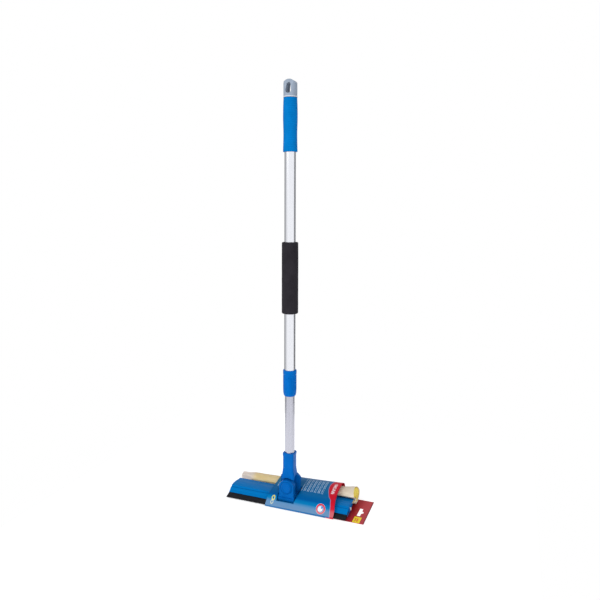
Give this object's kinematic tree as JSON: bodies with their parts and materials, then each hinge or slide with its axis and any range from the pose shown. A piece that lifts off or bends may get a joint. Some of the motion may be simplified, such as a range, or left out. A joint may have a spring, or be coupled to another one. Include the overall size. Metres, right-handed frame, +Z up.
{
  "type": "window washer",
  "caption": "Telescopic window washer: swivelling head with a rubber blade in front and a net-covered sponge roll behind, twist-lock pole, foam and hand grips, hanging cap, in its wrap.",
  "frame": {"origin": "on the pole's axis, in the plane that the hang card lies on", "axes": "+Z up the pole, X along the head with the hang card at +X, +Y from the blade to the sponge roll"},
  "size_m": [0.2792, 0.1008, 0.8146],
  "materials": {
    "blue_plastic": "moulded blue plastic, satin",
    "button_blue": "moulded blue plastic, satin",
    "grip_blue": "soft moulded grip, fine ribs",
    "cap_grey": "moulded grey plastic",
    "blade_rubber": "black rubber strip",
    "outer_aluminium": "bright polished tube",
    "inner_aluminium": "satin anodised tube",
    "steel": "zinc plated",
    "white_plastic": "plain moulded plastic",
    "black_foam": "closed-cell foam, fine pores",
    "sponge_foam": "open-cell yellow foam",
    "net": "cream knitted net",
    "printed_film": "printed plastic film, no lettering",
    "red_card": "printed card, no lettering",
    "yellow_label": "paper label, no lettering"
  },
  "bodies": {
    "head": {"head_housing": "blue_plastic", "squeegee_blade": "blade_rubber", "blade_stops": "blue_plastic", "bracket_screws": "steel", "sponge_core": "sponge_foam", "sponge_net": "net", "sponge_tail": "net", "sponge_rod": "white_plastic", "pivot_bracket": "blue_plastic", "pivot_pin": "steel", "pivot_nut": "steel", "thrust_washers": "white_plastic", "button_spring": "steel", "printed_wrap": "printed_film", "hang_card": "red_card", "price_sticker": "yellow_label"},
    "button": {"release_button": "button_blue"},
    "socket": {"handle_socket": "blue_plastic", "socket_screw": "steel", "inner_tube": "inner_aluminium", "guide_bush": "white_plastic"},
    "pole": {"outer_tube": "outer_aluminium", "lock_collet": "white_plastic", "foam_grip": "black_foam", "hand_grip": "grip_blue", "hanging_cap": "cap_grey"},
    "collar": {"lock_collar": "blue_plastic"}
  },
  "joints": [
    {"name": "head_swivel", "type": "hinge", "parent": "head", "child": "socket", "pos_m": [0, 0, 0.0346], "axis": [0, 1, 0], "range_deg": [-75, 75]},
    {"name": "button_press", "type": "slide", "parent": "head", "child": "button", "axis": [0, 1, 0], "range_m": [0, 0.0025], "stiffness_N_per_m": 600, "springref_m": -0.002, "deforming": ["button_spring"]},
    {"name": "pole_extend", "type": "slide", "parent": "socket", "child": "pole", "axis": [0, 0, 1], "range_m": [-0.105, 0.28]},
    {"name": "collar_twist", "type": "hinge", "parent": "pole", "child": "collar", "pos_m": [0, 0, 0.2373], "axis": [0, 0, 1], "range_deg": [0, 90]}
  ]
}
